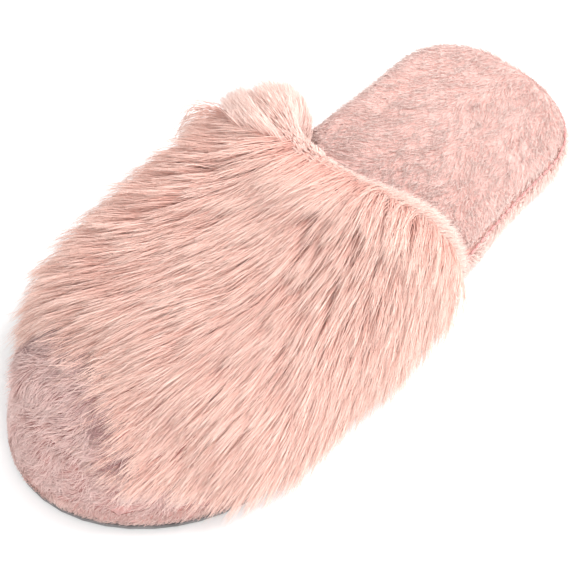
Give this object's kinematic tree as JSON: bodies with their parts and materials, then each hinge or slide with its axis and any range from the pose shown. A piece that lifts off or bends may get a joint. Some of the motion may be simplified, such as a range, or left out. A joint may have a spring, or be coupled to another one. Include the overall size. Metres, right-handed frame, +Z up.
{
  "type": "house slipper",
  "caption": "Backless closed-toe house slipper: flat soft sole, plush footbed and a long-pile upper combed forward over the toes.",
  "frame": {"origin": "on the floor under the middle of the whole slipper's bounding box", "axes": "+Y from the toe to the heel, +X to the wearer's left, which is the outer side of this left slipper, +Z up"},
  "size_m": [0.1218, 0.2652, 0.0772],
  "materials": {
    "long_pile_fabric": "long combed pile, dusty pink with paler tips",
    "short_plush_fabric": "short plush, pale pink",
    "lining_plush": "short plush, cream pink",
    "foam": "closed and open cell foam, off white",
    "fibreboard": "raw fibreboard",
    "outsole_rubber": "matt moulded rubber",
    "sewing_thread": "spun polyester thread, darker pink"
  },
  "bodies": {
    "root": {"outsole": "outsole_rubber", "side_wrap": "short_plush_fabric", "midsole_foam": "foam", "insole_board": "fibreboard", "insole_foam": "foam", "footbed_cover": "short_plush_fabric", "upper_lining": "lining_plush", "upper_padding": "foam", "upper_fur": "long_pile_fabric", "toe_band": "short_plush_fabric", "throat_binding": "lining_plush", "rim_seam_thread": "sewing_thread", "throat_seam_thread": "sewing_thread", "toe_band_thread": "sewing_thread", "wrap_closing_thread": "sewing_thread"}
  },
  "joints": []
}
